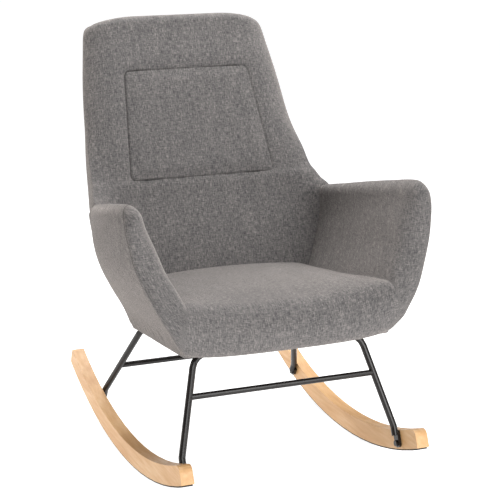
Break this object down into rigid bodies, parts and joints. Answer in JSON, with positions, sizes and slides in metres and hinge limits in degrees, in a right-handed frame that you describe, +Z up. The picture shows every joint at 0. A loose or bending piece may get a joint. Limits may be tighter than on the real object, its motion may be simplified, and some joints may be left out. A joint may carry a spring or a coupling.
{
  "type": "rocking chair",
  "caption": "Upholstered rocking chair: a padded high-backed tub with arms on a bent steel tube frame and two curved wooden rockers.",
  "frame": {"origin": "on the floor, under the middle of the chair's bounding box", "axes": "+X to the right seen from the front, across the chair; +Y towards the back, the chair faces -Y; +Z up"},
  "size_m": [0.738, 0.907, 0.9996],
  "materials": {
    "upholstery": "matte",
    "rocker_wood": "satin",
    "frame_wood": "matte",
    "black_steel": "satin",
    "bolt_steel": "satin",
    "zinc_steel": "satin",
    "sole_rubber": "matte",
    "clip_plastic": "matte",
    "black_cloth": "matte"
  },
  "bodies": {
    "root": {"rocker_left": "rocker_wood", "rocker_right": "rocker_wood", "rocker_sole_left": "sole_rubber", "rocker_sole_right": "sole_rubber", "front_leg_frame": "black_steel", "rear_leg_frame": "black_steel", "front_stretcher": "black_steel", "rear_stretcher": "black_steel", "front_rocker_bolt_left": "bolt_steel", "front_rocker_bolt_right": "bolt_steel", "front_rocker_insert_left": "zinc_steel", "front_rocker_insert_right": "zinc_steel", "rear_rocker_bolt_left": "bolt_steel", "rear_rocker_bolt_right": "bolt_steel", "rear_rocker_insert_left": "zinc_steel", "rear_rocker_insert_right": "zinc_steel", "front_frame_bolt_left": "bolt_steel", "front_frame_bolt_right": "bolt_steel", "front_frame_insert_left": "zinc_steel", "front_frame_insert_right": "zinc_steel", "rear_frame_bolt_left": "bolt_steel", "rear_frame_bolt_right": "bolt_steel", "rear_frame_insert_left": "zinc_steel", "rear_frame_insert_right": "zinc_steel", "seat_side_rail_left": "frame_wood", "seat_side_rail_right": "frame_wood", "seat_front_rail": "frame_wood", "seat_batten": "frame_wood", "seat_rear_rail": "frame_wood", "seat_corner_block_left": "frame_wood", "seat_corner_block_right": "frame_wood", "dust_cover": "black_cloth", "seat_spring_1": "zinc_steel", "spring_clip_front_1": "clip_plastic", "spring_clip_rear_1": "clip_plastic", "seat_spring_2": "zinc_steel", "spring_clip_front_2": "clip_plastic", "spring_clip_rear_2": "clip_plastic", "seat_spring_3": "zinc_steel", "spring_clip_front_3": "clip_plastic", "spring_clip_rear_3": "clip_plastic", "seat_spring_4": "zinc_steel", "spring_clip_front_4": "clip_plastic", "spring_clip_rear_4": "clip_plastic", "back_cushion": "upholstery", "back_cover": "upholstery", "back_post_left": "frame_wood", "back_post_right": "frame_wood", "back_top_rail": "frame_wood", "back_lower_rail": "frame_wood", "back_webbing_1": "black_cloth", "back_webbing_2": "black_cloth", "back_webbing_3": "black_cloth", "back_webbing_4": "black_cloth", "arm_panel_left": "frame_wood", "arm_panel_right": "frame_wood", "arm_pad_left": "upholstery", "arm_pad_right": "upholstery", "seat_cushion": "upholstery"}
  },
  "joints": []
}
